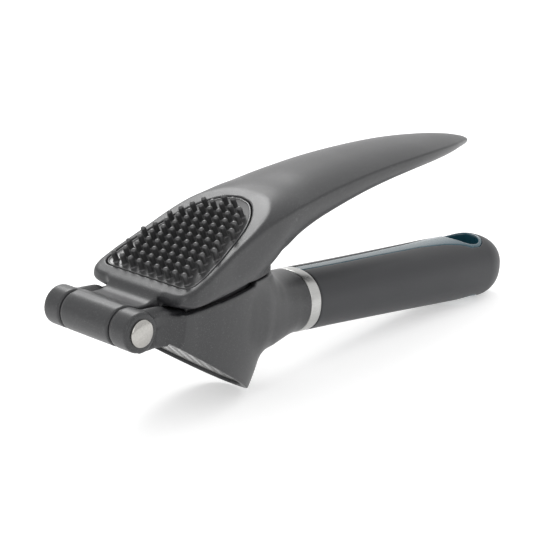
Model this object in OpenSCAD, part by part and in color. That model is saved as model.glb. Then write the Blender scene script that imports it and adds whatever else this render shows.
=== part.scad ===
// Garlic press: hopper lever, press lever on a riveted hinge, perforated plate, cleaner pad with pins.
// Each piece is drawn with the hinge axis on Y through the origin and the handle along +X. The whole press
// is then tipped by rest_tilt and lifted, so that it stands on the chin of the hopper and the handle end,
// with +Z up, +X towards the handle end and the origin on the table under its middle.

/* [Hinge] */
// outer radius of all three knuckles
knuckle_r = 5.85; // [5:0.05:7]
// overall width across the two outer knuckles
hinge_w = 35; // [30:0.5:42]
// length of the middle knuckle on the press lever
mid_knuckle_w = 19.9; // [16:0.1:24]
// thickness of each washer between the knuckles
washer_t = 0.45; // [0.3:0.05:0.8]
// radius of the hinge pin
pin_r = 2.5; // [2:0.1:3]
// radial running clearance of the middle knuckle on the pin
pin_clear = 0.05; // [0.02:0.01:0.1]
// radius of the domed heads on the pin
head_r = 4; // [3:0.1:5]
// height of the domed heads
head_h = 1.4; // [0.8:0.1:2.5]

/* [Hopper] */
// half width of the hopper outside
hopper_half_w = 17.8; // [15:0.1:20]
// radius from the hinge axis to the rear wall outside
hopper_reach = 63.1; // [55:0.1:70]
// wall thickness
wall = 2; // [1.5:0.1:3]
// radius from the hinge axis to the inside of the front wall
cavity_front_r = 18.2; // [17:0.1:20]
// slope of the bottom rim below the handle axis
bottom_angle = 28.9; // [25:0.1:32]
// height of the bottom rim plane above the hinge axis
bottom_offset = 1.2; // [0:0.1:3]
// slope of the top rim
rim_slope = 8.8; // [6:0.1:12]

/* [Perforated plate] */
// thickness of the plate
plate_t = 1; // [0.8:0.1:1.5]
// how far the plate sits inside the bottom rim
plate_recess = 1.1; // [0.5:0.1:2]
// radius of each hole
hole_r = 1.15; // [0.8:0.05:1.3]
// how far the holes sit beyond the pins, because the pins come in on an arc
hole_lead = 0.1; // [0:0.05:0.3]

/* [Cleaner pad] */
// slope of the pad above the handle axis
pad_angle = 27.8; // [24:0.1:32]
// height of the head's top face above the hinge axis, square to the pad
head_top = 1.4; // [0:0.1:3]
// how far the pad floor lies below the head's top face
pad_floor_drop = 0.4; // [0:0.1:1.5]
// thickness of the pad under the pins
pad_t = 1.6; // [1.2:0.1:3]
// height of the pin tips above the hinge axis, square to the pad
tip_height = 4.5; // [4:0.1:6]
// radius of a pin at its foot
pin_foot_r = 0.9; // [0.6:0.05:1.1]
// radius of a pin below its tip
pin_tip_r = 0.85; // [0.3:0.05:1]
// spacing of the pins along a row
pitch = 3.7; // [3:0.05:4.5]
// spacing of the rows
row_step = 3.14; // [2.6:0.02:4]
// distance of the first row from the hinge axis
row_start = 21.6; // [20:0.1:24]

/* [Handle] */
// height of the handle axis above the hinge axis
axis_z = -5.74; // [-8:0.01:-3]
// start of the steel ferrule
ferrule_x = 76.7; // [72:0.1:82]
// width of the steel ferrule
ferrule_w = 4.5; // [3:0.1:7]
// end of the handle
handle_end = 182.4; // [160:0.1:195]
// middle of the hang hole
hole_x = 164.5; // [150:0.5:170]
// radius of the hang hole
hang_r = 6.3; // [4:0.1:7]
// thickness of the coloured lining of the hang hole
lining_t = 1.3; // [0.8:0.1:2]

/* [Use] */
// forward lean of the handle as the press stands on a table
rest_tilt = 6.5; // [0:0.1:12]
// distance of the hinge axis behind the middle of the press
hinge_back = 87.4; // [80:0.1:95]
// height of the hinge axis above the table
hinge_height = 35.9; // [30:0.1:42]

/* [Hidden] */
$fn = 64;
slack = 0.02;
cast_grey = [0.33, 0.34, 0.36];
soft_grey = [0.36, 0.36, 0.38];
pin_black = [0.07, 0.07, 0.08];
steel = [0.8, 0.8, 0.8];
teal = [0.2, 0.5, 0.58];
knuckle_in = mid_knuckle_w / 2 + 0.1 + washer_t;
ferrule_end = ferrule_x + ferrule_w;
ca = cos(pad_angle);
sa = sin(pad_angle);
cb = cos(bottom_angle);
sb = sin(bottom_angle);
cavity_half = hopper_half_w - wall;
plate_low = bottom_offset + plate_recess;
plate_top = plate_low + plate_t;
pad_floor = head_top - pad_floor_drop;
// number of pins in each row, from the hinge outwards
row_count = [9, 8, 9, 8, 9, 8, 7, 8, 7, 6, 5, 2];
// outside of the hopper, as radius from the hinge axis and half width
shell_edge = [[16.2, hopper_half_w], [34, hopper_half_w], [42, 16.7], [48, 15.2], [53, 13.2],
  [56.7, 11.3], [59.8, 8.6], [61.8, 5.8], [hopper_reach - 0.2, 3.2], [hopper_reach, 0]];
// inside of the hopper in the same terms
cavity_edge = [[cavity_front_r, cavity_half], [34, cavity_half], [42, 14.7], [47.5, 13], [51.5, 11.2],
  [55, 9.2], [57.8, 6.7], [59.6, 4.4], [60.9, 2], [61.1, 0]];
// cleaner pad outline, as distance from the hinge axis and half width
pad_edge = [[19, 14.8], [19.7, 16.9], [21.4, 18.1], [24, 18.3], [31, 17.5], [36, 16.5], [42, 15],
  [47.5, 13.5], [52, 11.5], [55.2, 9.3], [57.6, 7], [59.5, 4.2], [60.4, 1.6]];
// underside of the head as a straight line in the side view
under_slope = 0.188;
under_z = 0.45;
// height of the flat at the back of the head, which rests on the shoulder of the neck
under_flat = 8.3;
under_bend = (under_flat - under_z) / under_slope;
// air between the head and the shoulder when the press is closed
stop_gap = 0.25;
shoulder = under_flat - stop_gap;
// the head's skirt and the plunger's top sit this far below the head's own underside
skirt_drop = 0.03;
seat_drop = 0.05;
function under(x) = x < under_bend ? under_slope * x + under_z : under_flat;
function rim(x) = x < 18.4 ? 2.65 : tan(rim_slope) * x - 0.2;
function head_plane(x) = (x * sa + head_top) / ca;
function bottom_plane(x) = (bottom_offset - x * sb) / cb;
function both(edge) = concat(edge, [for (i = [len(edge) - 1:-1:0]) [edge[i][0], -edge[i][1]]]);
function spow(v, e) = sign(v) * pow(abs(v), e);
sides = 24;
// closed oval section: half width w, up above and dn below height z, squareness n
function oval(x, w, z, up, dn, n) = [for (i = [0:sides - 1])
  let (a = 360 * i / sides, s = sin(a), h = s >= 0 ? up : dn)
  [x, w * spow(cos(a), 2 / n), z + h * spow(s, 2 / n)]];
// section of the arm: side ridges at height z, a crown between them and a rounded underside
function arm_section(x, w, z, up, dn, flat, n) = [for (i = [0:sides - 1])
  let (a = 360 * i / sides, c = cos(a), s = sin(a))
  s >= 0 ? [x, w * c, z + up * (1 - pow(abs(c), flat))]
    : [x, w * spow(c, 2 / n), z - dn * pow(abs(s), 2 / n)]];
function arm(row) = arm_section(row[0], row[1], row[2], row[3], row[4], row[5], row[6]);
function plain(row) = oval(row[0], row[1], row[2], row[3], row[4], row[5]);
// outline of the handle where the ferrule sits
function band(w, h) = [for (i = [0:47])
  let (a = 7.5 * i)
  [w * spow(cos(a), 2 / 2.2), axis_z + h * spow(sin(a), 2 / 2.2)]];

module standing() {
  translate([-hinge_back, 0, hinge_height]) rotate([0, rest_tilt, 0]) children();
}

// flat child drawn as seen from the handle end, then drawn out along the handle
module along_handle(h) {
  rotate([90, 0, 90]) linear_extrude(height = h) children();
}

// child drawn with its Z along the hinge axis
module on_hinge() {
  rotate([90, 0, 0]) children();
}

// side view outline given as x,z points, w wide about the middle plane
module slab(points, w) {
  rotate([90, 0, 0]) linear_extrude(height = w, center = true) polygon(points);
}

// solid of turning about the hinge axis, from radius and half width points
module turned(edge) {
  on_hinge() rotate_extrude($fn = 84) polygon(both(edge));
}

module loft(secs) {
  m = len(secs[0]);
  n = len(secs);
  start = [for (i = [0:m - 1]) i];
  stop = [for (i = [m - 1:-1:0]) (n - 1) * m + i];
  low = [for (k = [0:n - 2]) for (i = [0:m - 1]) [k * m + i, (k + 1) * m + i, (k + 1) * m + (i + 1) % m]];
  high = [for (k = [0:n - 2]) for (i = [0:m - 1])
    [k * m + i, (k + 1) * m + (i + 1) % m, k * m + (i + 1) % m]];
  polyhedron(points = [for (s = secs) each s], faces = concat([start], [stop], low, high), convexity = 6);
}

// children drawn flat in the pad's own plane: X away from the hinge, Z out of the pad
module on_pad(h) {
  rotate([0, -pad_angle, 0]) translate([0, 0, h]) children();
}

// children drawn flat in the plane of the hopper's bottom rim
module on_plate(h) {
  rotate([0, bottom_angle, 0]) translate([0, 0, h]) children();
}

// every pin place: x from the hinge axis, y along it
module pin_places() {
  for (i = [0:len(row_count) - 1])
    for (j = [0:row_count[i] - 1])
      translate([row_start + i * row_step, (j - (row_count[i] - 1) / 2) * pitch, 0]) children();
}

module domed_head() {
  rotate_extrude() polygon(concat([[0, 0], [head_r, 0]],
    [for (a = [0:15:90]) [head_r * cos(a), 0.3 + (head_h - 0.3) * sin(a)]]));
}

module knuckle(w) {
  e = 0.6;
  rotate_extrude() polygon([[0, 0], [knuckle_r, 0], [knuckle_r, w - e], [knuckle_r - 0.18, w - 0.18],
    [knuckle_r - e, w], [0, w]]);
}

// plan shape of a cheek: dips in beside the knuckle and swells out into the hopper wall
cheek_plan = [[0, knuckle_in], [0, hinge_w / 2 - 0.3], [3, 16.9], [5, 16.4], [7, 15.8], [9, 15.5], [11, 15.7],
  [13, 16.4], [15, 17.2], [17, 17.7], [19, hopper_half_w], [22, hopper_half_w], [22, knuckle_in]];
// side view of a cheek
cheek_side = [[0, 3.6], [3, 3.3], [6, 2.8], [10, 2.65], [18.4, 2.65], [22, rim(22)],
  [22, bottom_plane(22) + 0.1], [14, bottom_plane(14) + 0.1], [9, -6.4], [4, -6], [0, -knuckle_r]];
// crest along the top of a cheek
crest_w = 4.6;
crest_side = [[0, 3.2], [2, 4.5], [4, 5.4], [6, 6], [8, 6.2], [10, 5.5], [11.5, 4.7], [12.6, 4.1],
  [13.8, 3.7], [15.4, 3.4], [18.3, 3], [19.5, 2.6], [19.5, 0], [0, 0]];
// neck between hopper and ferrule: x, half width, height, rise, fall, squareness
neck = [[43, 16.2, -3.5, 11, 11, 3], [48, 15.6, -3.6, 11.9, 12, 3], [53, 14.8, -4.4, 13, 13, 2.8],
  [58, 13.8, -5.4, 13.4, 12.5, 2.6], [62, 13, -6, 12.6, 12, 2.5], [66, 12.2, -6.1, 11.2, 11, 2.4],
  [70, 11.6, -5.9, 10.2, 10.2, 2.3], [74, 11.15, axis_z, 9.8, 9.85, 2.2],
  [ferrule_x, 11.05, axis_z, 9.75, 9.75, 2.2]];

module crest() intersection() {
  slab(crest_side, crest_w);
  rotate([90, 0, 90]) translate([0, 0, -1]) linear_extrude(height = 30)
    polygon([[-crest_w / 2, -1], [crest_w / 2, -1], [crest_w / 2, 4.4], [crest_w / 2 - 0.8, 6.4],
      [-crest_w / 2, 3.9]]);
}

module hopper_body() color(cast_grey) standing() difference() {
  union() {
    for (s = [-1, 1]) scale([1, s, 1])
      translate([0, knuckle_in, 0]) rotate([-90, 0, 0]) knuckle(hinge_w / 2 - knuckle_in);
    for (s = [-1, 1]) scale([1, s, 1]) intersection() {
      slab(cheek_side, 60);
      translate([0, 0, -30]) linear_extrude(height = 60) polygon(cheek_plan);
    }
    for (s = [-1, 1]) scale([1, s, 1]) translate([0, knuckle_in + crest_w / 2, 0]) crest();
    intersection() {
      turned(shell_edge);
      slab([[12, 2.65], [18.4, 2.65], [45.5, rim(45.5)], [46.2, shoulder], [66, shoulder], [80, -10],
        [66, bottom_plane(66)], [12, bottom_plane(12)]], 60);
    }
    difference() {
      loft([for (row = neck) plain(row)]);
      slab([[30, rim(30)], [45.5, rim(45.5)], [46.2, shoulder], [70, shoulder], [70, 60], [30, 60]], 60);
    }
    translate([ferrule_x - 0.5, 0, 0]) along_handle(ferrule_w + 0.5) polygon(band(10.2, 8.9));
    translate([ferrule_end - 0.1, -5, axis_z - 3]) cube([58, 10, 6]);
  }
  intersection() {
    turned(concat([[cavity_front_r, cavity_half]], cavity_edge));
    slab([[0, 30], [75, 40], [75, (plate_top - 75 * sb) / cb], [0, plate_top / cb]], 60);
  }
  on_plate(bottom_offset - 3) linear_extrude(height = plate_recess + plate_t + 3 + slack)
    polygon(both([for (p = cavity_edge) [p[0] + (p[0] < 20 ? -0.4 : p[0] > 60 ? 0.4 : 0.1),
      p[1] < 0.1 ? 0 : p[1] + 0.5]]));
  on_hinge() cylinder(r = pin_r + slack, h = 60, center = true);
  on_hinge() cylinder(r = knuckle_r + 0.5, h = 2 * knuckle_in, center = true);
  for (x = [95, 115]) translate([x, 0, axis_z]) rotate([90, 0, 0]) cylinder(r = 1.8, h = 20, center = true);
}

module sieve_plate() color(steel) standing() difference() {
  on_plate(plate_low) linear_extrude(height = plate_t)
    polygon(both([for (p = cavity_edge) [p[0] + (p[0] < 20 ? -0.35 : p[0] > 60 ? 0.35 : 0.07),
      p[1] < 0.1 ? 0 : p[1] + 0.44]]));
  on_plate(plate_low - 1) translate([hole_lead, 0, 0]) pin_places()
    cylinder(r = hole_r, h = plate_t + 2, $fn = 10);
}

module ferrule() color(steel) standing() translate([ferrule_x + slack, 0, 0])
  along_handle(ferrule_w - 2 * slack) difference() {
    polygon(band(11.15, 9.85));
    polygon(band(10.2 + slack, 8.9 + slack));
  }

// outside of the handle behind the ferrule: x, half width, half height
handle_rows = [[ferrule_end + slack, 11.1, 9.8], [92, 11.1, 9.85], [110, 11.1, 10.1], [130, 11.15, 10.45],
  [150, 11.25, 10.85], [160, 11.3, 11], [169, 11.3, 11], [173, 10.9, 10.6], [175.5, 10.1, 9.8],
  [178, 8.5, 8.3], [180, 6.5, 6.3], [181.5, 4.2, 4.1], [handle_end, 1.6, 1.6]];

module handle_form() {
  loft([for (r = handle_rows) oval(r[0], r[1], axis_z, r[2], r[2], 2.3)]);
}

// the part of the handle taken by the coloured core: inner block, top strip and the lining of the hole
module core_space() {
  translate([ferrule_end, -7, axis_z - 5]) cube([hole_x - ferrule_end, 14, 10]);
  translate([0, 0, axis_z]) linear_extrude(height = 40)
    polygon([[ferrule_end, -2], [115, -2.2], [138, -2.8], [150, -4.2], [hole_x - 3, -7], [hole_x - 3, 7],
      [150, 4.2], [138, 2.8], [115, 2.2], [ferrule_end, 2]]);
  translate([hole_x, 0, -40]) cylinder(r = hang_r + lining_t, h = 80);
}

module handle_core() color(teal) standing() difference() {
  intersection() {
    handle_form();
    core_space();
  }
  translate([hole_x, 0, -50]) cylinder(r = hang_r, h = 100);
  translate([ferrule_end - 1, -5 - slack, axis_z - 3 - slack]) difference() {
    cube([59 + slack, 10 + 2 * slack, 6 + 2 * slack]);
    for (x = [95, 115]) translate([x - ferrule_end + 1, 0, 3 + slack]) rotate([-90, 0, 0])
      cylinder(r = 1.8 - slack, h = 30, center = true);
  }
}

module handle_grip() color(soft_grey) standing() difference() {
  handle_form();
  core_space();
}

module hinge_pin() color(steel) standing() {
  on_hinge() translate([0, 0, -hinge_w / 2 + 2]) cylinder(r = pin_r, h = hinge_w - 2);
  translate([0, -hinge_w / 2, 0]) rotate([90, 0, 0]) domed_head();
}

module pin_cap() color(steel) standing() {
  translate([0, hinge_w / 2, 0]) rotate([-90, 0, 0]) domed_head();
  translate([0, hinge_w / 2 - 1.9, 0]) rotate([-90, 0, 0]) cylinder(r = pin_r, h = 2);
}

module washer(side) {
  color(pin_black) standing() on_hinge() translate([0, 0, side > 0 ? mid_knuckle_w / 2 + 0.1
    : -mid_knuckle_w / 2 - 0.1 - washer_t]) difference() {
    cylinder(r = knuckle_r - 0.5, h = washer_t);
    translate([0, 0, -1]) cylinder(r = pin_r + slack, h = washer_t + 2);
  }
}

module near_washer() washer(1);

module far_washer() washer(-1);

// head and arm of the press lever
arm_rows = [[12.8, 16.6, 7.3, 0.8, 2.4, 10, 4], [13.5, 18.7, 7.9, 0.8, 3.4, 14, 4],
  [15.2, 20, 8.8, 0.8, 4.6, 16, 5], [18, 20.6, 10.3, 0.8, 6.5, 16, 6], [22, 20.5, 12.4, 0.8, 8.2, 16, 7],
  [26, 20.1, 14.5, 0.8, 9.8, 16, 7], [34, 19.1, 18.6, 0.9, 12.6, 14, 7], [42, 18.5, 22.3, 1.4, 15.6, 9, 6],
  [48, 18.1, 24.6, 2, 18, 5.5, 4], [54, 17.8, 26.6, 2.9, 19, 3.6, 2.8], [60, 17.4, 28.6, 3.1, 18.1, 2.8, 2.2],
  [66, 16.9, 30.2, 3.2, 15.4, 2.5, 2.2], [74, 16.4, 32.1, 3.3, 12.6, 2.3, 2.4],
  [82, 16, 33.7, 3.2, 10.8, 2.3, 2.6], [90, 15.6, 35.2, 3, 9.4, 2.3, 2.8],
  [98, 15.1, 36.5, 2.8, 8.4, 2.3, 2.9], [108, 14.5, 37.8, 2.6, 7.3, 2.3, 3],
  [118, 13.8, 38.9, 2.3, 6.5, 2.3, 3], [128, 12.7, 39.8, 2, 5.8, 2.3, 3], [137, 11, 40.3, 1.8, 5.2, 2.3, 2.8],
  [145, 8.8, 40.5, 1.6, 4.4, 2.3, 2.6], [151, 6.4, 40.4, 1.4, 3.6, 2.3, 2.4],
  [156, 4.1, 40.1, 1.1, 2.8, 2.2, 2.2],
  [159.5, 2.3, 39.7, 0.8, 1.9, 2, 2], [161.4, 1, 39.3, 0.4, 0.8, 2, 2]];
// side view of the web that joins the middle knuckle to the head
web_side = [[0, 5.4], [2, 5.35], [5, 4.9], [8, 5.1], [10.5, 6.1], [12.5, 7.4], [16, 8], [19, 8],
  [19, under(19)], [14, 3.3], [10, 1.6], [6, -1.5], [3, -4.9], [0, -5.2]];

module press_arm() color(cast_grey) standing() difference() {
  union() {
    on_hinge() cylinder(r = knuckle_r, h = mid_knuckle_w, center = true);
    slab(web_side, mid_knuckle_w - 0.3);
    difference() {
      loft([for (row = arm_rows) arm(row)]);
      slab([[16, -30], [64, -30], [64, under_flat], [under_bend, under_flat], [16, under(16)]], 60);
    }
    intersection() {
      turned(shell_edge);
      slab([[22.5, under(22.5) - skirt_drop], [under_bend, under_flat - skirt_drop],
        [64, under_flat - skirt_drop], [64, 13], [50, 14], [22.5, 9]], 60);
    }
  }
  on_hinge() cylinder(r = pin_r + pin_clear, h = 40, center = true);
  on_pad(pad_floor - pad_t) linear_extrude(height = 20)
    polygon(both([for (p = pad_edge) [p[0] + (p[0] < 20 ? -0.06 : 0.03), p[1] + 0.05]]));
  for (x = screw_x) translate([x, 0, 0]) {
    translate([0, 0, -20]) cylinder(r = 1.65, h = 60, $fn = 32);
    translate([0, 0, screw_top(x) - 0.2]) cylinder(r = 3.05, h = 20, $fn = 32);
    translate([0, 0, screw_top(x) - 1.65 - 0.2]) cylinder(r1 = 1.65, r2 = 3.05, h = 1.65, $fn = 32);
  }
}

// two countersunk screws under the pad hold the plunger up against the head
screw_x = [28, 46];
function screw_top(x) = head_plane(x) - (pad_floor_drop + pad_t) / ca - 1.8;

module plunger_screws() color(steel) standing() for (x = screw_x)
  translate([x, 0, screw_top(x) - 0.2]) difference() {
    union() {
      translate([0, 0, -1.6]) cylinder(r1 = 1.6, r2 = 3, h = 1.6, $fn = 32);
      translate([0, 0, under(x) - 6 - screw_top(x)])
        cylinder(r = 1.5, h = screw_top(x) - under(x) + 5, $fn = 32);
    }
    translate([0, 0, -1]) cylinder(r = 1.2, h = 3, $fn = 6);
  }

// the face that presses the garlic, 0.5 above the plate when the press is closed
plunger_edge = [[cavity_front_r + 0.4, cavity_half - 0.4], [34, cavity_half - 0.4], [42, 14.25], [47.3, 12.6],
  [51.2, 10.8], [54.6, 8.8], [57.4, 6.3], [59.1, 4.1], [60.4, 1.8], [60.6, 0]];

module plunger() color(cast_grey) standing() difference() {
  intersection() {
    turned(plunger_edge);
    slab([[10, under(10) - seat_drop], [under_bend, under_flat - seat_drop], [70, under_flat - seat_drop],
      [70, (plate_top + 0.5 - 70 * sb) / cb], [10, (plate_top + 0.5 - 10 * sb) / cb]], 60);
  }
  difference() {
    intersection() {
      turned([for (p = plunger_edge)
        [p[0] + (p[0] < 20 ? 2.4 : p[0] > 55 ? -2.4 : -1.2), max(p[1] - 2.2, 0)]]);
      slab([[10, 30], [70, 40], [70, (plate_top + 3.5 - 70 * sb) / cb],
        [10, (plate_top + 3.5 - 10 * sb) / cb]], 60);
    }
    for (x = screw_x) translate([x, 0, -40]) cylinder(r = 3.6, h = 80, $fn = 32);
    slab([[10, -40], [70, -40], [70, 40], [10, 40]], 2);
  }
  for (x = screw_x) translate([x, 0, under(x) - 6.6]) cylinder(r = 1.5 + slack, h = 20, $fn = 32);
}

module cleaner_pad() color(pin_black) standing() {
  on_pad(pad_floor - pad_t) linear_extrude(height = pad_t) polygon(both(pad_edge));
  on_pad(pad_floor - slack) pin_places() cylinder(r1 = pin_foot_r, r2 = pin_tip_r,
    h = tip_height - pad_floor - 0.5, $fn = 6);
  on_pad(tip_height - 0.5 - slack) pin_places() cylinder(r1 = pin_tip_r, r2 = 0.45, h = 0.5, $fn = 6);
}

hopper_body();
sieve_plate();
ferrule();
handle_core();
handle_grip();
hinge_pin();
pin_cap();
near_washer();
far_washer();
press_arm();
plunger();
plunger_screws();
cleaner_pad();
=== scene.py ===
"""Looks for a garlic press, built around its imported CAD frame.

Shapes are signed distance fields on a grid, turned into smooth meshes, so that castings get the
soft fillets of a real casting. Lengths are in millimetres about the hinge axis until to_row().
"""

import math

import bpy
import numpy as np
from mathutils import Matrix, Vector
from mathutils.geometry import delaunay_2d_cdt


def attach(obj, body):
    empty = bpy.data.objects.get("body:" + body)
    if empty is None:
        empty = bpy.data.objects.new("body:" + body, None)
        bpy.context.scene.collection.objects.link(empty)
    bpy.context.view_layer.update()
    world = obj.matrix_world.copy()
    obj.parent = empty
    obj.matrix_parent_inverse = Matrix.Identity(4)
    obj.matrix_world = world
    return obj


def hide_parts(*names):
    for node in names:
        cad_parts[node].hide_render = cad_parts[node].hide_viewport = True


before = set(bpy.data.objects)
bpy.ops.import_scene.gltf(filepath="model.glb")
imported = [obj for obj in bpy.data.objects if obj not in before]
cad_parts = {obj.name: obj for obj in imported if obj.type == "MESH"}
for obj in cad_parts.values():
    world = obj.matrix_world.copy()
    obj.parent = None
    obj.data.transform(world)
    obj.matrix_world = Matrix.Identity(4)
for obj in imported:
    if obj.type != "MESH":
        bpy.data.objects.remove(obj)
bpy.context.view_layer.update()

LOWER, UPPER = "lower_lever", "upper_lever"
TILT = math.radians(6.5)
HINGE_X, HINGE_Z = -87.4, 35.9

# hinge
KNUCKLE_R, HINGE_W, MID_HALF = 5.85, 35.0, 9.95
KNUCKLE_IN = 10.5
PIN_R, HEAD_R, HEAD_H = 2.5, 4.0, 1.4
WASHER_T = 0.45
# hopper
REACH = 63.1
BOTTOM = math.radians(28.9)
BOTTOM_DROP = 1.2
PLATE_LOW, PLATE_T = 2.3, 1.0
PLATE_TOP = 3.3
NECK_TOP = 8.05
HEAD_START, HEAD_UNDER = 12.6, 8.3
HOLE_R, HOLE_LEAD, HOLE_SIDES = 1.15, 0.1, 28
# pad
PAD = math.radians(27.8)
SEAT, PAD_FLOOR, PAD_T = 1.4, 1.0, 1.6
TIP = 4.5
PITCH, ROW_STEP, ROW_START = 3.7, 3.14, 21.6
ROW_COUNT = [9, 8, 9, 8, 9, 8, 7, 8, 7, 6, 5, 2]
# handle
AXIS_Z = -5.74
FERRULE_X, FERRULE_END = 76.7, 81.2
HOLE_X, HANG_R, LINING = 164.5, 6.3, 1.3

SHELL_W, SHELL_WIDEST, SHELL_STEPS = 17.85, 25, 60


def shell_width(r):
    """Half width of the hopper at a radius from the hinge, past its widest place."""
    return SHELL_W * (1 - ((r - SHELL_WIDEST) / (REACH - SHELL_WIDEST)) ** 2.2) ** 0.41


SHELL_R = [REACH - 35 * (i / SHELL_STEPS) ** 2 for i in range(SHELL_STEPS, -1, -1)]
SHELL = [[r, shell_width(r)] for r in SHELL_R]
CAVITY = [[34, 15.8], [42, 14.7], [47.5, 13], [51.5, 11.2], [55, 9.2], [57.8, 6.7], [59.6, 4.4], [60.9, 2],
          [61.1, 0]]
PLUNGER = [[34, 15.4], [42, 14.25], [47.3, 12.6], [51.2, 10.8], [54.6, 8.8], [57.4, 6.3], [59.1, 4.1],
           [60.4, 1.8], [60.6, 0]]
PAD_EDGE = [[19, 0], [19, 14.8], [19.7, 16.9], [21.4, 18.1], [24, 18.3], [31, 17.5], [36, 16.5], [42, 15],
            [47.5, 13.5], [52, 11.5], [55.2, 9.3], [57.6, 7], [59.5, 4.2], [60.5, 0]]


# ---- numbers to shapes -------------------------------------------------------------------------

def spline(rows, at):
    """Smooth values between the rows, whose first column is the position; never past a row's value."""
    rows = np.asarray(rows, float)
    x, v = rows[:, 0], rows[:, 1:]
    step = np.diff(x)[:, None]
    slope = np.diff(v, axis=0) / step
    tangent = np.zeros_like(v)
    same = slope[:-1] * slope[1:] > 0
    w1, w2 = 2 * step[1:] + step[:-1], step[1:] + 2 * step[:-1]
    safe = np.where(same, slope[:-1], 1), np.where(same, slope[1:], 1)
    tangent[1:-1] = np.where(same, (w1 + w2) / (w1 / safe[0] + w2 / safe[1]), 0)
    tangent[0], tangent[-1] = slope[0], slope[-1]
    at = np.clip(np.asarray(at, float), x[0], x[-1])
    i = np.clip(np.searchsorted(x, at) - 1, 0, len(x) - 2)
    t = ((at - x[i]) / (x[i + 1] - x[i]))[:, None]
    h = step[i]
    return ((1 + 2 * t) * (1 - t) ** 2 * v[i] + t * (1 - t) ** 2 * h * tangent[i]
            + t * t * (3 - 2 * t) * v[i + 1] + t * t * (t - 1) * h * tangent[i + 1])


def rounded(points, n=8):
    """A curve through the points, n steps to each."""
    p = np.asarray(points, float)
    along = np.concatenate([[0], np.cumsum(np.hypot(*np.diff(p, axis=0).T))])
    parts = [np.linspace(a, b, n, endpoint=False) for a, b in zip(along, along[1:])]
    at = np.concatenate(parts + [[along[-1]]])
    return spline(np.column_stack([along, p]), at).tolist()


def both(edge):
    """An outline from its half on the +y side."""
    return edge + [[a, -b] for a, b in reversed(edge) if b > 1e-6]


def outline(px, py, points):
    """Signed distance to a closed outline, negative inside."""
    best, inside = None, False
    for (ax, ay), (bx, by) in zip(points, points[1:] + points[:1]):
        ex, ey = bx - ax, by - ay
        length = ex * ex + ey * ey
        if length < 1e-12:
            continue
        wx, wy = px - ax, py - ay
        t = np.clip((wx * ex + wy * ey) / length, 0, 1)
        d = (wx - t * ex) ** 2 + (wy - t * ey) ** 2
        best = d if best is None else np.minimum(best, d)
        if ey:
            inside = inside ^ (((ay > py) != (by > py)) & (px < ex * (py - ay) / ey + ax))
    return np.where(inside, -1, 1) * np.sqrt(best)


def smin(a, b, k):
    """Union of two fields with a fillet of about k."""
    h = np.maximum(k - np.abs(a - b), 0) / k
    return np.minimum(a, b) - h * h * k * 0.25


def smax(a, b, k):
    """Intersection of two fields with a rounded edge of about k."""
    return -smin(-a, -b, k)


class Grid:
    """Sample points: x and z in full, y from the middle plane outwards; the field is mirrored later."""

    def __init__(self, xs, ys, zs):
        self.axes = [np.asarray(a, float) for a in (xs, ys, zs)]
        self.x = self.axes[0][:, None, None]
        self.y = self.axes[1][None, :, None]
        self.z = self.axes[2][None, None, :]

    def swept(self, along, edge):
        """Field of a half outline given over (along, y), where along is a value for each x and z."""
        top = float(along.max()) + 1
        low = float(along.min()) - 1
        step = 0.1
        at = np.arange(low, top + step, step)
        table = outline(at[:, None], self.axes[1][None, :], edge)
        i = (along - low) / step
        n = np.floor(i).astype(int)
        part = (i - n)[..., None]
        return (table[n] * (1 - part) + table[n + 1] * part).transpose(0, 2, 1)

    def turned(self, edge):
        """Field of a half outline over (radius, y), turned about the hinge axis."""
        return self.swept(np.hypot(self.axes[0][:, None], self.axes[2][None, :]), edge)

    def side(self, points):
        return outline(self.x[:, 0, :], self.z[0, :, :], points)[:, None, :]

    def plan(self, points):
        return outline(self.x[:, :, 0], self.y[0, :, :].T, points)[:, :, None]

    def radius(self):
        return np.hypot(self.x, self.z)

    def even(self, field):
        """The field scaled so that it changes by about 1 for each mm near its surface."""
        field = np.broadcast_to(field, [len(a) for a in self.axes])
        slope = np.sqrt(sum(g * g for g in np.gradient(field, *self.axes)))
        return field / np.maximum(slope, 0.05)

    def mesh(self, name, field, place=None):
        """The surface where the field is 0, as an object in the row frame."""
        xs, ys, zs = self.axes
        full = np.concatenate([field[:, :0:-1], field], axis=1)
        axes = [xs, np.concatenate([-ys[:0:-1], ys]), zs]
        points, quads = surface_net(full, axes)
        for _ in range(3):
            points = settle(points, quads, full, axes)
        return to_object(name, (place or to_row)(points), quads)


def sample(field, axes, p):
    """The field at the points, by straight-line interpolation."""
    at, part, size = [], [], []
    for axis, values in zip(axes, p.T):
        i = np.clip(np.searchsorted(axis, values) - 1, 0, len(axis) - 2)
        gap = axis[i + 1] - axis[i]
        at.append(i)
        size.append(gap)
        part.append(np.clip((values - axis[i]) / gap, 0, 1))
    corner = [[[field[at[0] + a, at[1] + b, at[2] + c] for c in (0, 1)] for b in (0, 1)] for a in (0, 1)]
    u, v, w = part

    def mix(a, b, t):
        return a * (1 - t) + b * t

    value = mix(mix(mix(corner[0][0][0], corner[0][0][1], w), mix(corner[0][1][0], corner[0][1][1], w), v),
                mix(mix(corner[1][0][0], corner[1][0][1], w), mix(corner[1][1][0], corner[1][1][1], w), v), u)
    return value


def slope_at(field, axes, p, h=0.2):
    """How fast the field changes along x, y and z at the points."""
    out = []
    for k in range(3):
        step = np.zeros(3)
        step[k] = h
        out.append((sample(field, axes, p + step) - sample(field, axes, p - step)) / (2 * h))
    return np.stack(out, axis=1)


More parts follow.
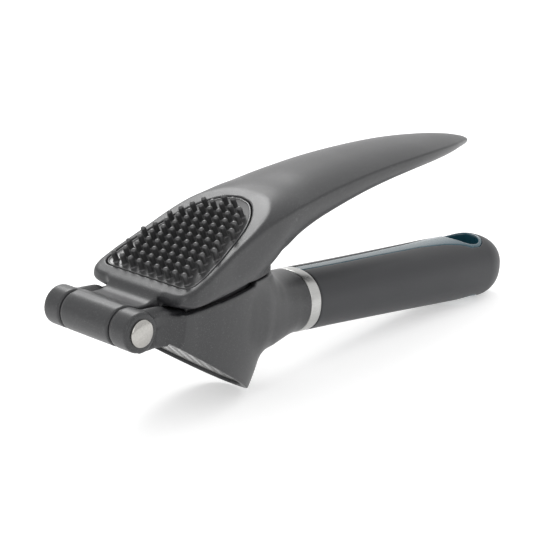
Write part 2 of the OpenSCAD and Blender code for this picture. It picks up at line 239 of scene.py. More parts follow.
def settle(p, quads, field, axes):
    """Evens out the mesh along the surface, then puts each point back on it."""
    n = len(p)
    total = np.zeros((n, 3))
    count = np.zeros(n)
    for a, b in ((0, 1), (1, 2), (2, 3), (3, 0)):
        for k in range(3):
            total[:, k] += np.bincount(quads[:, a], p[quads[:, b], k], n)
            total[:, k] += np.bincount(quads[:, b], p[quads[:, a], k], n)
        count += np.bincount(quads[:, a], minlength=n) + np.bincount(quads[:, b], minlength=n)
    normal = slope_at(field, axes, p)
    normal /= np.maximum(np.linalg.norm(normal, axis=1, keepdims=True), 1e-9)
    move = (total / count[:, None] - p) * 0.5
    move -= normal * (move * normal).sum(axis=1, keepdims=True)
    p = p + move
    for _ in range(2):
        slope = slope_at(field, axes, p)
        step = slope * (sample(field, axes, p) / np.maximum((slope ** 2).sum(axis=1), 0.2))[:, None]
        p = p - np.clip(step, -0.15, 0.15)
    return p


def surface_net(field, axes):
    """A point for each grid cell that the surface crosses, and a quad for each grid edge."""
    inside = field < 0
    n = np.array(field.shape) - 1
    count = np.zeros(n, np.int8)
    corners = [(a, b, c) for a in (0, 1) for b in (0, 1) for c in (0, 1)]
    for a, b, c in corners:
        count += inside[a:a + n[0], b:b + n[1], c:c + n[2]]
    cells = (count > 0) & (count < 8)
    number = np.full(n, -1, np.int64)
    at = np.argwhere(cells)
    number[cells] = np.arange(len(at))
    value = {c: field[at[:, 0] + c[0], at[:, 1] + c[1], at[:, 2] + c[2]] for c in corners}
    total = np.zeros((len(at), 3))
    hits = np.zeros(len(at))
    for p in corners:
        for k in range(3):
            if p[k]:
                continue
            q = tuple(1 if i == k else p[i] for i in range(3))
            va, vb = value[p], value[q]
            cross = (va < 0) != (vb < 0)
            t = np.where(cross, va / np.where(cross, va - vb, 1), 0)
            for i in range(3):
                total[:, i] += np.where(cross, t if i == k else p[i], 0)
            hits += cross
    part = total / hits[:, None]
    points = np.stack([axes[i][at[:, i]] + part[:, i] * (axes[i][at[:, i] + 1] - axes[i][at[:, i]])
                       for i in range(3)], axis=1)
    quads = []
    for k in range(3):
        u, v = (k + 1) % 3, (k + 2) % 3
        low = [slice(None)] * 3
        high = [slice(None)] * 3
        low[k], high[k] = slice(0, -1), slice(1, None)
        for i in (u, v):
            low[i] = high[i] = slice(1, -1)
        a, b = inside[tuple(low)], inside[tuple(high)]
        edge = np.argwhere(a != b)
        flip = b[tuple(edge.T)]
        edge[:, u] += 1
        edge[:, v] += 1
        ring = []
        for du, dv in ((-1, -1), (0, -1), (0, 0), (-1, 0)):
            cell = edge.copy()
            cell[:, u] += du
            cell[:, v] += dv
            ring.append(number[tuple(cell.T)])
        ring = np.stack(ring, axis=1)
        ring[flip] = ring[flip][:, ::-1]
        quads.append(ring)
    return points, np.concatenate(quads)


def to_row(p):
    """Millimetres about the hinge to metres in the row frame."""
    c, s = math.cos(TILT), math.sin(TILT)
    x, y, z = np.asarray(p, float).T
    return np.stack([x * c + z * s + HINGE_X, y, z * c - x * s + HINGE_Z], axis=1) / 1000


def sloped(angle):
    """Points given over (along, y, up) in a plane that falls by angle from the handle axis."""
    c, s = math.cos(angle), math.sin(angle)

    def place(p):
        u, y, v = np.asarray(p, float).T
        return to_row(np.stack([u * c + v * s, y, v * c - u * s], axis=1))

    return place


def to_object(name, points, faces, smooth=True):
    mesh = bpy.data.meshes.new(name)
    if isinstance(faces, np.ndarray):
        mesh.vertices.add(len(points))
        mesh.vertices.foreach_set("co", np.asarray(points, np.float32).ravel())
        mesh.loops.add(faces.size)
        mesh.loops.foreach_set("vertex_index", faces.astype(np.int32).ravel())
        mesh.polygons.add(len(faces))
        mesh.polygons.foreach_set("loop_start", np.arange(0, faces.size, faces.shape[1], dtype=np.int32))
        mesh.update(calc_edges=True)
    else:
        mesh.from_pydata([tuple(p) for p in points], [], faces)
    mesh.validate()
    if smooth:
        mesh.polygons.foreach_set("use_smooth", [True] * len(mesh.polygons))
    ob = bpy.data.objects.new(name, mesh)
    bpy.context.scene.collection.objects.link(ob)
    return ob


def tube_faces(rings, around, closed=False):
    """Quads between rings of the same number of points."""
    faces = []
    last = rings if closed else rings - 1
    for r in range(last):
        for i in range(around):
            j = (i + 1) % around
            a, b = r * around, ((r + 1) % rings) * around
            faces.append((a + i, b + i, b + j, a + j))
    return faces


def lathe_y(name, profile, around=96):
    """A solid turned about the hinge axis from (radius, y) points; first and last are on the axis."""
    points = []
    inner = profile[1:-1]
    for r, y in inner:
        for i in range(around):
            a = 2 * math.pi * i / around
            points.append((r * math.cos(a), y, r * math.sin(a)))
    faces = tube_faces(len(inner), around)
    for ring, (r, y), flip in ((0, profile[0], False), (len(inner) - 1, profile[-1], True)):
        points.append((0, y, 0))
        hub = len(points) - 1
        for i in range(around):
            a, b = ring * around + i, ring * around + (i + 1) % around
            faces.append((hub, b, a) if flip else (hub, a, b))
    return to_object(name, to_row(points), faces)


def axis_steps(*parts):
    """Grid positions from (start, stop, step) stretches that follow one another."""
    out = [np.linspace(a, b, max(2, round((b - a) / h) + 1))[:-1] for a, b, h in parts]
    return np.concatenate(out + [[parts[-1][1]]])


FINE = 1.0

# ---- pieces --------------------------------------------------------------------------------------

def rim(x):
    """Height of the hopper's rim."""
    return 2.65 if x < 18.4 else math.tan(math.radians(8.8)) * x - 0.2


def under(x):
    """Height of the underside of the arm's head, just above the rim."""
    return min(0.188 * x + 0.45, 8.3)


def bottom_plane(x):
    """Height of the hopper's slanting bottom."""
    return (BOTTOM_DROP - x * math.sin(BOTTOM)) / math.cos(BOTTOM)


# neck: x, half width, height of its middle, rise, fall, squareness
NECK = [[43, 12.5, -3.5, 9, 9, 3], [48, 14.3, -3.6, 11.3, 11.4, 3], [53, 14.6, -4.4, 13, 13, 2.8],
        [58, 13.8, -5.4, 13.4, 12.5, 2.6], [62, 13, -6, 12.6, 12, 2.5], [66, 12.2, -6.1, 11.2, 11, 2.4],
        [70, 11.6, -5.9, 10.2, 10.2, 2.3], [74, 11.15, AXIS_Z, 9.8, 9.85, 2.2],
        [FERRULE_X, 11.05, AXIS_Z, 9.75, 9.75, 2.2], [80, 11.05, AXIS_Z, 9.75, 9.75, 2.2]]


def hopper():
    h = 0.3 * FINE
    g = Grid(axis_steps((-7.2, 77.4, h)), axis_steps((0, 19.2, h)), axis_steps((-32, 9.6, h)))
    r = g.radius()
    drop = g.x * math.sin(BOTTOM) + g.z * math.cos(BOTTOM)
    front = [[16.2, 0], [16.2, 17.8]]
    shell = g.turned(both(front + SHELL))
    top = [[12, 2.65], [18.4, 2.65], [45.3, rim(45.3)], [46.4, NECK_TOP], [70, NECK_TOP], [90, -20],
           [66, -60], [12, -60]]
    shell = smax(shell, g.side(top), 0.7)
    neck = spline(NECK, g.axes[0])
    w, mid, up, down, n = (neck[:, i][:, None, None] for i in range(5))
    height = np.where(g.z > mid, up, down)
    tube = ((g.y / w) ** n + (np.abs(g.z - mid) / height) ** n) ** (1 / n) - 1
    tube = g.even(tube)
    tube = smax(tube, 44 - g.x, 0.5)
    tube = smax(tube, g.x - (FERRULE_X + 0.1), 0.5)
    over = [[30, 40], [30, rim(30)], [45.3, rim(45.3)], [46.4, NECK_TOP], [70, NECK_TOP], [70, 40]]
    tube = smax(tube, -g.side(over), 0.7)
    body = smin(shell, tube, 3.2)
    body = smax(body, -g.side(over), 0.7)
    body = smax(body, BOTTOM_DROP - drop, 0.5)
    # cheeks, knuckles and the crest between them
    cheek_plan = rounded([[0, 17.1], [3, 16.8], [5, 16.2], [7, 15.4], [9, 15], [11, 15.2], [13, 16],
                          [15, 16.9], [17, 17.4], [19, 17.3], [22, 16.5], [27, 14]], 4)
    cheek_plan = cheek_plan + [[27, KNUCKLE_IN], [0, KNUCKLE_IN]]
    cheek_side = [[0, 3.6], [3, 3.3], [6, 2.8], [10, 2.65], [18.4, 2.65], [26, rim(26)],
                  [26, bottom_plane(26)], [14, bottom_plane(14)], [9, -6.4], [4, -6.0], [0, -5.85]]
    cheek = smax(g.side(cheek_side), g.plan(cheek_plan), 0.8)
    crest_side = rounded([[0, 3.2], [2, 4.5], [4, 5.4], [6, 6], [8, 6.2], [10, 5.5], [11.5, 4.7],
                          [12.6, 4.1], [13.8, 3.7], [15.4, 3.4], [18.3, 3], [19.5, 2.6]], 3)
    crest_side = crest_side + [[19.5, 0], [0, 0]]
    crest = smax(g.side(crest_side), np.abs(g.y - 12.8) - 2.3, 0.9)
    crest = smax(crest, (g.y - 14) * 0.57 + (g.z - 5.1) * 0.82, 0.8)
    crest = smax(crest, (g.z - 6) * 0.86 + (14.2 - g.y) * 0.5, 0.9)
    cheek = smin(cheek, crest, 1.2)
    knuckle = smax(r - KNUCKLE_R, np.abs(g.y - 14) - 3.5, 1.1)
    cheek = smin(cheek, knuckle, 0.8)
    body = smin(body, cheek, 1.2)
    # the fillets stay above the bottom, where the arm's head comes to rest when it is flipped over
    body = smax(body, np.minimum(BOTTOM_DROP - drop, g.x - 12.4), 0.25)
    # chamber, seat of the plate, room for the middle knuckle, bore
    chamber = g.turned(both([[18.2, 0], [18.2, 15.8]] + rounded(CAVITY)))
    body = smax(body, -smax(chamber, PLATE_TOP - drop, 0.3), 0.6)
    plane = (g.x * math.cos(BOTTOM) - g.z * math.sin(BOTTOM))[:, 0, :]
    seat = [[a + 0.12, b + 0.5] for a, b in rounded(CAVITY)[:-1]]
    seat = both([[17.8, 0], [17.8, 16.3]] + seat + [[61.5, 0]])
    body = smax(body, -np.maximum(g.swept(plane, seat), drop - PLATE_TOP), 0.25)
    body = smax(body, -np.maximum(r - 6.35, g.y - KNUCKLE_IN), 0.5)
    body = np.maximum(body, 2.52 - r)
    return g.mesh("hopper_casting", body)


# crown of the arm: x, half width, height of the side ridge, rise to the middle, fall to the underside,
# flatness of the crown, squareness of the underside
ARM = [[12.4, 16, 6.9, 1.5, 1.9, 12, 4], [12.9, 17.4, 7.3, 1.6, 2.5, 14, 4],
       [13.6, 18.8, 7.9, 1.6, 3.4, 16, 4], [15.2, 20, 8.8, 1.6, 4.6, 16, 5],
       [18, 20.6, 10.3, 1.6, 6.5, 16, 6], [22, 20.5, 12.4, 1.6, 8.2, 16, 7],
       [26, 20.1, 14.5, 1.6, 9.8, 16, 7], [34, 19.1, 18.7, 2.2, 12.6, 14, 7],
       [42, 18.5, 22.6, 3, 15.6, 8, 6], [48, 18.1, 25, 3.4, 18, 5.5, 4], [54, 17.8, 27, 3.3, 19, 3.8, 2.8],
       [60, 17.4, 28.8, 3.2, 18.1, 3, 2.2], [66, 16.9, 30.2, 3.2, 15.4, 2.5, 2.2],
       [74, 16.4, 32.1, 3.3, 12.6, 2.3, 2.4], [82, 16, 33.7, 3.2, 10.8, 2.3, 2.6],
       [90, 15.6, 35.2, 3, 9.4, 2.3, 2.8], [98, 15.1, 36.5, 2.8, 8.4, 2.3, 2.9],
       [108, 14.5, 37.8, 2.6, 7.3, 2.3, 3], [118, 13.8, 38.9, 2.3, 6.5, 2.3, 3],
       [128, 12.7, 39.8, 2, 5.8, 2.3, 3], [137, 11, 40.3, 1.8, 5.2, 2.3, 2.8],
       [145, 8.8, 40.5, 1.6, 4.4, 2.3, 2.6], [151, 6.4, 40.4, 1.4, 3.6, 2.3, 2.4],
       [156, 4.1, 40.1, 1.1, 2.8, 2.2, 2.2], [159.5, 2.3, 39.7, 0.8, 1.9, 2, 2],
       [161.2, 1.1, 39.4, 0.45, 0.9, 2, 2], [161.9, 0.2, 39.2, 0.1, 0.2, 2, 2]]


def arm():
    h = 0.32 * FINE
    g = Grid(axis_steps((-7.2, 66, h), (66, 150, 1.6 * h), (150, 163.2, h)), axis_steps((0, 22.1, h)),
             axis_steps((-7.2, 44, h)))
    x, y, z = g.x, g.y, g.z
    row = spline(ARM, g.axes[0])
    w, ridge, up, down, flat, n = (row[:, i][:, None, None] for i in range(6))
    across = np.minimum(y / w, 1.6)
    crown = g.even(z - ridge - up * (1 - across ** flat))
    belly = g.even((across ** n + (np.maximum(ridge - z, 0) / down) ** n) ** (1 / n) - 1)
    body = smax(crown, belly, 0.5)
    front = z * math.cos(PAD) - x * math.sin(PAD) - SEAT
    body = smax(body, front, 0.5)
    body = smax(body, HEAD_START - x, 0.9)
    body = smax(body, x - 161.6, 0.6)
    edge = [[i, under(i)] for i in (16, 41.75)]
    body = smax(body, -g.side([[10, -30], [64, -30], [64, HEAD_UNDER]] + edge[::-1] + [[10, 3.4]]), 1.0)
    skirt = g.turned(both([[16.2, 0], [16.2, 17.8]] + SHELL))
    slice_side = [[22, under(22)], [41.75, HEAD_UNDER], [64, HEAD_UNDER], [64, 14], [50, 15], [22, 10]]
    skirt = smax(skirt, g.side(slice_side), 0.8)
    body = smin(body, skirt, 1.6)
    web = rounded([[0, 5.4], [2, 5.35], [5, 4.9], [8, 5.05], [10.5, 5.8], [12.5, 6.7], [15, 7.2],
                   [19, 7.3]], 4)
    web = web + [[19, under(19)], [14, 3.3], [10, 1.6], [6, -1.5], [3, -4.9], [0, -5.2]]
    web = smax(g.side(web), y - 9.8, 0.8)
    r = g.radius()
    knuckle = smax(r - KNUCKLE_R, y - MID_HALF, 0.7)
    web = smin(web, knuckle, 1.2)
    body = smin(body, web, 3.2)
    body = smax(body, np.minimum(front, x - 12), 0.3)
    # nothing below the head's underside, and room beside the web for the cheeks
    body = smax(body, -g.side([[15.6, -30], [64, -30], [64, 8.28], [41.75, 8.28], [15.6, under(15.6)]]), 0.5)
    body = smax(body, -np.maximum(10.15 - y, r - 13.6), 0.5)
    u = (x * math.cos(PAD) + z * math.sin(PAD))[:, 0, :]
    v = z * math.cos(PAD) - x * math.sin(PAD)
    gap = 0.16
    pocket = both([[a - gap if a < 30 else a + gap, b + gap if b else 0] for a, b in rounded(PAD_EDGE, 5)])
    body = smax(body, -np.maximum(g.swept(u, pocket), PAD_FLOOR - PAD_T - v), 0.3)
    body = np.maximum(body, 2.55 - r)
    return g.mesh("arm_casting", body)


def plunger():
    h = 0.35 * FINE
    g = Grid(axis_steps((15, 63.6, h)), axis_steps((0, 16.4, h)), axis_steps((-32, 9.2, h)))
    drop = g.x * math.sin(BOTTOM) + g.z * math.cos(BOTTOM)
    body = g.turned(both([[18.6, 0], [18.6, 15.4]] + rounded(PLUNGER)))
    top = [[10, under(10) - 0.05], [41.75, 8.25], [70, 8.25], [70, -60], [10, -60]]
    body = smax(body, g.side(top), 0.3)
    body = smax(body, 3.8 - drop, 0.8)
    return g.mesh("plunger_casting", body)


def handle_form(g):
    """The outside of the handle behind the ferrule."""
    rows = spline([[80, 11.1, 9.8], [92, 11.1, 9.85], [110, 11.1, 10.1], [130, 11.15, 10.45],
                   [150, 11.25, 10.85], [160, 11.3, 11], [170, 11.3, 11], [184, 11.3, 11]], g.axes[0])
    w, t = rows[:, 0][:, None, None], rows[:, 1][:, None, None]
    n = 2.3
    ring = ((g.y / w) ** n + (np.abs(g.z - AXIS_Z) / t) ** n) ** (1 / n)
    return g.even(np.hypot(ring, np.maximum(g.x - 169.4, 0) / 12.9) - 1)


def strip(g, grow):
    """Plan of the coloured strip and the lining of the hang hole."""
    edge = [[70, 2], [FERRULE_END, 2], [115, 2.2], [138, 2.8], [150, 4.2], [HOLE_X - 3, 7]]
    band = g.plan(both(edge)) - grow
    band = np.where(g.z > AXIS_Z, band, 5.0)
    lining = np.hypot(g.x - HOLE_X, g.y) - (HANG_R + LINING) - grow
    return smin(band, lining, 2.0)


def handle_grid():
    h = 0.32 * FINE
    xs, ys = axis_steps((79.8, 184, h)), axis_steps((0, 12.6, h))
    return Grid(xs, ys, axis_steps((AXIS_Z - 12.2, AXIS_Z + 12.2, h)))


def grip():
    g = handle_grid()
    body = handle_form(g)
    body = smax(body, FERRULE_END + 0.05 - g.x, 0.7)
    body = smax(body, -strip(g, 0.06), 0.45)
    return g.mesh("grip_sleeve", body)


def core():
    g = handle_grid()
    body = handle_form(g) + 0.06
    body = smax(body, FERRULE_END + 0.1 - g.x, 0.5)
    body = smax(body, strip(g, -0.06), 0.45)
    body = smax(body, np.where(np.hypot(g.x - HOLE_X, g.y) < 8.5, -9.0, AXIS_Z - 1 - g.z), 0.3)
    body = smax(body, HANG_R - np.hypot(g.x - HOLE_X, g.y), 0.7)
    return g.mesh("teal_core", body)


def ferrule():
    around, n = 144, 2.2
    profile = [(0.06, -0.95), (0.06, -0.3), (0.16, -0.08), (0.34, 0), (1.2, 0.03), (2.25, 0.05), (3.3, 0.03),
               (4.16, 0), (4.34, -0.08), (4.44, -0.3), (4.44, -0.95)]
    points = []
    for dx, out in profile:
        for i in range(around):
            a = 2 * math.pi * i / around
            c, s = math.cos(a), math.sin(a)
            points.append((FERRULE_X + dx, (11.15 + out) * math.copysign(abs(c) ** (2 / n), c),
                           AXIS_Z + (9.85 + out) * math.copysign(abs(s) ** (2 / n), s)))
    return to_object("steel_ferrule", to_row(points), tube_faces(len(profile), around, closed=True))


def pin_places(lead=0.0):
    for i, count in enumerate(ROW_COUNT):
        for j in range(count):
            yield ROW_START + lead + i * ROW_STEP, (j - (count - 1) / 2) * PITCH


def clockwise(place, r, z=None):
    """Points of a circle about a place, with a height if one is given."""
    turns = [-2 * math.pi * i / HOLE_SIDES for i in range(HOLE_SIDES)]
    rest = () if z is None else (z,)
    return [(place[0] + r * math.cos(a), place[1] + r * math.sin(a), *rest) for a in turns]


def sieve():
    """Punched plate: a flat outline with a round hole at each pin place."""
    low, high, lead_in = PLATE_LOW, PLATE_LOW + PLATE_T, 0.08
    edge = [[a + 0.08, b + 0.42] for a, b in rounded(CAVITY, 5)[:-1]]
    edge = both([[17.85, 0], [17.85, 16.2]] + edge + [[61.4, 0]])
    flat, loops = [Vector(p) for p in edge], [list(range(len(edge)))]
    places = list(pin_places(HOLE_LEAD))
    for place in places:
        loops.append(list(range(len(flat), len(flat) + HOLE_SIDES)))
        flat += [Vector(p) for p in clockwise(place, HOLE_R + lead_in)]
    edges = [(loop[i], loop[(i + 1) % len(loop)]) for loop in loops for i in range(len(loop))]
    points, _, faces, source, _, _ = delaunay_2d_cdt(flat, edges, [], 5, 1e-5)
    where = {old: new for new, olds in enumerate(source) for old in olds}
    count = len(points)
    solid = [(p[0], p[1], z) for z in (low, high) for p in points]
    out = []
    holes = [{where[i] for i in loop} for loop in loops[1:]]
    for f in faces:
        if any(hole.issuperset(f) for hole in holes):
            continue
        f = list(f) if area_sign(points, f) > 0 else list(f)[::-1]
        out.append([count + i for i in f])
        out.append(f[::-1])
    for n, loop in enumerate(loops):
        ids = [where[i] for i in loop]
        rings = [ids, [count + i for i in ids]]
        if n:
            # a worn lead-in, the wall, and the lead-in on the other face
            for z in (low + lead_in, high - lead_in):
                first = len(solid)
                solid += clockwise(places[n - 1], HOLE_R, z)
                rings.insert(-1, list(range(first, first + HOLE_SIDES)))
        for a, b in zip(rings, rings[1:]):
            for i in range(len(loop)):
                j = (i + 1) % len(loop)
                out.append((a[i], b[i], b[j], a[j]))
    return to_object("punched_plate", sloped(BOTTOM)(solid), out, smooth=False)


def area_sign(flat, loop):
    """Above 0 when the loop of points runs anticlockwise."""
    return sum(flat[loop[i]][0] * flat[loop[(i + 1) % len(loop)]][1]
               - flat[loop[(i + 1) % len(loop)]][0] * flat[loop[i]][1] for i in range(len(loop)))


def pad():
    """Moulded pad with rounded edges and a tapered stud at each pin place."""
    edge = np.array(both(rounded(PAD_EDGE, 5)))
    following = np.roll(edge, -1, axis=0) - np.roll(edge, 1, axis=0)
    normal = np.stack([following[:, 1], -following[:, 0]], axis=1)
    normal /= np.linalg.norm(normal, axis=1, keepdims=True)
    if ((edge - edge.mean(axis=0)) * normal).sum() < 0:
        normal = -normal
    points = []
    base = PAD_FLOOR - PAD_T
    rings = [(0.12, base), (0.12, PAD_FLOOR - 0.1), (0.16, PAD_FLOOR + 0.06), (0.28, PAD_FLOOR + 0.14),
             (0.5, PAD_FLOOR + 0.16), (0.66, PAD_FLOOR + 0.1), (0.72, PAD_FLOOR - 0.06),
             (0.82, PAD_FLOOR - 0.1)]
    for inset, height in rings:
        for p, q in zip(edge, normal):
            points.append((p[0] - q[0] * inset, p[1] - q[1] * inset, height))
    n = len(edge)
    faces = tube_faces(len(rings), n)
    flip = area_sign([tuple(p) for p in edge], list(range(n))) > 0
    faces = [f[::-1] for f in faces] if flip else faces
    top = [(len(rings) - 1) * n + i for i in range(n)]
    faces += [top if flip else top[::-1], list(range(n))[::-1] if flip else list(range(n))]
    profile = [(1.2, -0.3), (1.2, -0.1), (1.02, -0.04), (0.92, 0.12), (0.89, 0.5), (0.87, 1.6), (0.85, 2.6),
               (0.83, 2.85), (0.76, 3.08), (0.64, 3.27), (0.46, 3.41), (0.24, 3.48)]
    tall = TIP - PAD_FLOOR - 3.5
    around = 16
    for x, y in pin_places():
        start = len(points)
        for r, z in profile:
            for i in range(around):
                a = 2 * math.pi * i / around
                height = PAD_FLOOR + z + (tall if z > 1 else 0)
                points.append((x + r * math.cos(a), y + r * math.sin(a), height))
        faces += [tuple(start + i for i in f[::-1]) for f in tube_faces(len(profile), around)]
        points.append((x, y, TIP))
        tip = len(points) - 1
        ring = start + (len(profile) - 1) * around
        faces += [(tip, ring + i, ring + (i + 1) % around) for i in range(around)]
        faces.append([start + i for i in range(around)][::-1])
    return to_object("stud_pad", sloped(-PAD)(points), faces)


def head(name, side):
    """Domed head at one end of the hinge: side -1 is the near one, with the pin on it."""
    end = side * HINGE_W / 2
    inner = side * (HINGE_W / 2 - 2.1) if side > 0 else HINGE_W / 2 - 2
    profile = [(0, end + side * HEAD_H)]
    for i in range(1, 15):
        a = math.pi / 2 * (1 - i / 14)
        profile.append((HEAD_R * math.cos(a) ** 0.92, end + side * (0.32 + (HEAD_H - 0.32) * math.sin(a))))
    profile += [(HEAD_R, end + side * 0.12), (HEAD_R - 0.1, end), (PIN_R, end), (PIN_R, inner), (0, inner)]
    ob = lathe_y(name, profile)
    if side > 0:
        ob.data.flip_normals()
    return ob


def washer(name, side):
    low = side * (MID_HALF + 0.1)
    high = low + side * WASHER_T
    out, inn = KNUCKLE_R - 0.5, PIN_R + 0.02
    ring = [(inn, low), (out - 0.1, low), (out, low + side * 0.1), (out, high - side * 0.1),
            (out - 0.1, high), (inn, high)]
    around, points = 72, []
    for r, y in ring:
        for i in range(around):
            a = 2 * math.pi * i / around
            points.append((r * math.cos(a), y, r * math.sin(a)))
    ob = to_object(name, to_row(points), tube_faces(len(ring), around, closed=True))
    if side < 0:
        ob.data.flip_normals()
    return ob


# ---- materials -----------------------------------------------------------------------------------

class Nodes:
    """Short names for building one material's node tree."""

    def __init__(self, name):
        self.mat = bpy.data.materials.new(name)
        self.mat.use_nodes = True
        self.tree = self.mat.node_tree
        self.shader = self.tree.nodes["Principled BSDF"]
        self.place = self.add("ShaderNodeTexCoord").outputs["Object"]

    def add(self, kind, **values):
        node = self.tree.nodes.new(kind)
        for key, value in values.items():
            if hasattr(node, key):
                setattr(node, key, value)
            else:
                node.inputs[key.replace("_", " ")].default_value = value
        return node

    def link(self, a, b):
        self.tree.links.new(a, b)

    def stretched(self, scale):
        node = self.add("ShaderNodeMapping")
        node.inputs["Scale"].default_value = scale
        self.link(self.place, node.inputs["Vector"])
        return node.outputs["Vector"]

    def noise(self, size_mm, detail=4.0, rough=0.55, vector=None):
        """Noise from 0 to 1 with lumps of about the given size."""
        node = self.add("ShaderNodeTexNoise", Detail=detail, Roughness=rough)
        node.inputs["Scale"].default_value = 1000.0 / size_mm
        self.link(vector or self.place, node.inputs["Vector"])
        return node.outputs["Fac"]

    def ramp(self, fac, low, high, a=0.0, b=1.0):
        """fac from low..high to a..b, held at both ends."""
        node = self.add("ShaderNodeMapRange")
        for key, value in (("From Min", low), ("From Max", high), ("To Min", a), ("To Max", b)):
            node.inputs[key].default_value = value
        self.link(fac, node.inputs["Value"])
        return node.outputs["Result"]

    def mix(self, fac, a, b):
        node = self.add("ShaderNodeMix")
        node.data_type = "RGBA"
        for socket, value in ((node.inputs[6], a), (node.inputs[7], b)):
            if isinstance(value, tuple):
                socket.default_value = (*value, 1)
            else:
                self.link(value, socket)
        self.link(fac, node.inputs[0])
        return node.outputs[2]

    def math(self, kind, a, b):
        node = self.add("ShaderNodeMath")
        node.operation = kind
        for socket, value in zip(node.inputs, (a, b)):
            if isinstance(value, (int, float)):
                socket.default_value = value
            else:
                self.link(value, socket)
        return node.outputs[0]

    def bump(self, *layers):
        """Bump from (height, depth in mm) layers."""
        normal = None
        for height, depth in layers:
            node = self.add("ShaderNodeBump")
            node.inputs["Strength"].default_value = 1.0
            node.inputs["Distance"].default_value = depth / 1000
            self.link(height, node.inputs["Height"])
            if normal:
                self.link(normal, node.inputs["Normal"])
            normal = node.outputs["Normal"]
        self.link(normal, self.shader.inputs["Normal"])

    def edges(self, low=0.505, high=0.56):
        """1 on worn outer edges, 0 elsewhere."""
        geometry = self.add("ShaderNodeNewGeometry")
        return self.ramp(geometry.outputs["Pointiness"], low, high)

    def finish(self, color=None, roughness=None, **constants):
        if color is not None:
            self.link(color, self.shader.inputs["Base Color"])
        if roughness is not None:
            self.link(roughness, self.shader.inputs["Roughness"])
        for key, value in constants.items():
            self.shader.inputs[key.replace("_", " ")].default_value = value
        return self.mat


def coated_casting():
    m = Nodes("slate_coating")
    broad = m.noise(14, 3)
    grain = m.noise(0.32, 2)
    speck = m.ramp(m.noise(0.16, 1, 0.4), 0.66, 0.78)
    color = m.mix(broad, (0.0115, 0.0118, 0.0132), (0.0145, 0.0149, 0.0165))
    color = m.mix(m.ramp(grain, 0.35, 0.65, 0, 0.3), color, (0.028, 0.0285, 0.031))
    color = m.mix(m.math("MULTIPLY", speck, 0.55), color, (0.30, 0.30, 0.30))
    wear = m.math("MULTIPLY", m.edges(0.53, 0.62), m.ramp(m.noise(2.2, 3), 0.4, 0.7))
    color = m.mix(m.math("MULTIPLY", wear, 0.3), color, (0.12, 0.12, 0.125))
    rough = m.math("ADD", m.ramp(broad, 0.3, 0.7, 0.36, 0.41), m.ramp(grain, 0.3, 0.7, -0.03, 0.04))
    m.bump((m.noise(2.6, 2), 0.012), (grain, 0.008))
    return m.finish(color, rough, Specular_IOR_Level=0.56)


def soft_grip():
    m = Nodes("soft_touch_grip")
    broad = m.noise(18, 3)
    grain = m.noise(0.26, 3)
    color = m.mix(broad, (0.0145, 0.0152, 0.0180), (0.0185, 0.0195, 0.0225))
    color = m.mix(m.ramp(m.noise(1.1, 4), 0.6, 0.85, 0, 0.25), color, (0.042, 0.044, 0.047))
    rough = m.math("ADD", m.ramp(broad, 0.3, 0.7, 0.50, 0.56), m.ramp(grain, 0.3, 0.7, -0.03, 0.03))
    m.bump((m.noise(3.5, 2), 0.01), (grain, 0.012))
    return m.finish(color, rough, Specular_IOR_Level=0.5, Sheen_Weight=0.05, Sheen_Roughness=0.5)


def teal_plastic():
    m = Nodes("teal_plastic")
    broad = m.noise(9, 3)
    color = m.mix(broad, (0.009, 0.048, 0.070), (0.012, 0.058, 0.082))
    rough = m.math("ADD", m.ramp(broad, 0.3, 0.7, 0.22, 0.28), m.ramp(m.noise(0.5, 2), 0.3, 0.7, -0.02, 0.03))
    m.bump((m.noise(1.8, 2), 0.006))
    return m.finish(color, rough, Coat_Weight=0.3, Coat_Roughness=0.12)


def black_plastic():
    m = Nodes("black_plastic")
    broad = m.noise(6, 3)
    color = m.mix(broad, (0.030, 0.030, 0.031), (0.042, 0.042, 0.043))
    rough = m.math("ADD", m.ramp(broad, 0.3, 0.7, 0.30, 0.38), m.ramp(m.noise(0.3, 2), 0.3, 0.7, -0.02, 0.03))
    m.bump((m.noise(0.45, 3), 0.006))
    return m.finish(color, rough, Specular_IOR_Level=0.8)


def brushed_steel(name, scale, low, high, tint=(0.49, 0.49, 0.478), shade=0.84):
    m = Nodes(name)
    lines = m.noise(1.0, 4, 0.6, m.stretched(scale))
    broad = m.noise(5, 3)
    dark = tuple(shade * c for c in tint)
    color = m.mix(m.ramp(lines, 0.3, 0.7), dark, tint)
    rough = m.math("ADD", m.ramp(lines, 0.3, 0.7, low, high), m.ramp(broad, 0.3, 0.7, -0.03, 0.03))
    m.bump((lines, 0.006))
    return m.finish(color, rough, Metallic=1.0)


MATERIALS = {
    "cast_coating": coated_casting(),
    "soft_grip": soft_grip(),
    "teal_core": teal_plastic(),
    "black_pad": black_plastic(),
    "stainless": brushed_steel("brushed_steel", (0.12, 5.0, 5.0), 0.26, 0.38),
    "polished_pin": brushed_steel("polished_steel", (1.5, 1.5, 1.5), 0.13, 0.2, (0.43, 0.42, 0.40)),
}
# A darker copy of the stainless finish for the plate: its low tint and darker lines are painted shade for the
# plate's place deep in the hopper's recess.
SHADED_PLATE_STEEL = brushed_steel("plate_steel_painted_shade", (0.12, 5.0, 5.0), 0.26, 0.38, (0.34, 0.34, 0.335), 0.5)


def dress(ob, slot, body=None, replaces=(), finish=None):
    ob.data.materials.clear()
    ob.data.materials.append(finish or MATERIALS[slot])
    if body:
        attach(ob, body)
        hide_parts(*replaces)


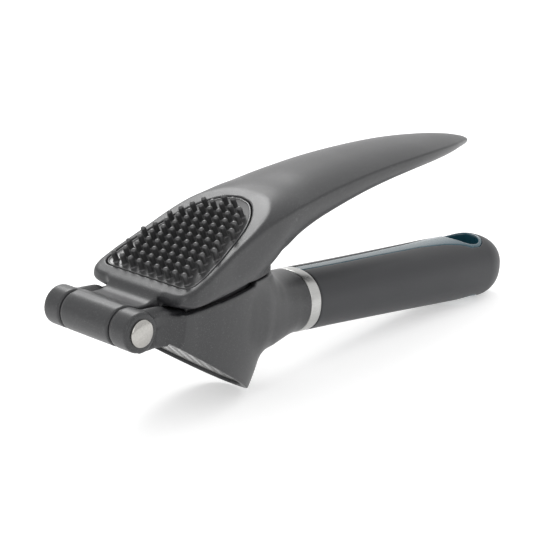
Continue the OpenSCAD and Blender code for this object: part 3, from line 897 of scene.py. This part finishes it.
dress(hopper(), "cast_coating", LOWER, ["hopper_body"])
# the plate gets the darker copy of the stainless finish, painted shade for the recess it sits in
dress(sieve(), "stainless", LOWER, ["sieve_plate"], SHADED_PLATE_STEEL)
dress(ferrule(), "stainless", LOWER, ["ferrule"])
dress(core(), "teal_core", LOWER, ["handle_core"])
dress(grip(), "soft_grip", LOWER, ["handle_grip"])
dress(head("pin_near_head", -1), "polished_pin", LOWER, ["hinge_pin"])
dress(head("pin_far_head", 1), "polished_pin", LOWER, ["pin_cap"])
dress(washer("washer_near", -1), "black_pad", LOWER, ["near_washer"])
dress(washer("washer_far", 1), "black_pad", LOWER, ["far_washer"])
dress(arm(), "cast_coating", UPPER, ["press_arm"])
dress(plunger(), "cast_coating", UPPER, ["plunger"])
dress(pad(), "black_pad", UPPER, ["cleaner_pad"])
dress(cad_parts["plunger_screws"], "stainless")


# ---- stage ---------------------------------------------------------------------------------------

def floor():
    ob = to_object("floor", [(-6, -6, 0), (6, -6, 0), (6, 6, 0), (-6, 6, 0)], [(0, 1, 2, 3)], smooth=False)
    m = Nodes("pale_floor")
    color = m.mix(m.noise(400, 3), (0.80, 0.80, 0.80), (0.83, 0.83, 0.83))
    # lit from below like a light table, so that shadows stay faint
    ob.data.materials.append(m.finish(color, m.ramp(m.noise(30, 2), 0, 1, 0.85, 0.95), Specular_IOR_Level=0.1,
                                      Emission_Color=(1, 1, 1, 1), Emission_Strength=0.4))


def light(name, spot, target, size, power, color=(1, 1, 1)):
    data = bpy.data.lights.new(name, "AREA")
    data.shape = "RECTANGLE"
    data.size, data.size_y = size
    data.energy = power
    data.color = color
    ob = bpy.data.objects.new(name, data)
    ob.location = spot
    ob.rotation_euler = (Vector(target) - Vector(spot)).to_track_quat("-Z", "Y").to_euler()
    bpy.context.scene.collection.objects.link(ob)


def camera():
    azimuth, elevation = math.radians(-46.245), math.radians(18.742)
    back = Vector((math.sin(azimuth) * math.cos(elevation), -math.cos(azimuth) * math.cos(elevation),
                   math.sin(elevation)))
    right = Vector((math.cos(azimuth), math.sin(azimuth), 0))
    up = back.cross(right)
    data = bpy.data.cameras.new("camera")
    data.sensor_width = 36
    data.lens = 113.38
    data.clip_start, data.clip_end = 0.01, 50
    ob = bpy.data.objects.new("camera", data)
    turn = Matrix((right, up, back)).transposed().to_4x4()
    ob.matrix_world = Matrix.Translation((-0.37475, -0.34083, 0.20038)) @ turn
    bpy.context.scene.collection.objects.link(ob)
    bpy.context.scene.camera = ob


def studio():
    world = bpy.data.worlds.new("studio")
    world.use_nodes = True
    tree = world.node_tree
    back = tree.nodes["Background"]
    back.inputs["Strength"].default_value = 1.0
    place = tree.nodes.new("ShaderNodeTexCoord")
    toward = tree.nodes.new("ShaderNodeVectorMath")
    toward.operation = "DOT_PRODUCT"
    toward.inputs[1].default_value = (0.35, 0.5, 0.79)
    tree.links.new(place.outputs["Generated"], toward.inputs[0])
    ramp = tree.nodes.new("ShaderNodeMapRange")
    for key, value in (("From Min", -0.6), ("From Max", 0.9), ("To Min", 0.95), ("To Max", 1.1)):
        ramp.inputs[key].default_value = value
    tree.links.new(toward.outputs["Value"], ramp.inputs["Value"])
    tree.links.new(ramp.outputs["Result"], back.inputs["Color"])
    bpy.context.scene.world = world
    light("back_top", (0.35, 0.65, 0.75), (0, 0, 0.04), (0.35, 0.3), 3.2)
    light("front_left", (-0.8, -0.5, 0.45), (0, 0, 0.03), (0.6, 0.6), 1.2)
    bpy.context.scene.view_settings.view_transform = "Standard"


floor()
camera()
studio()
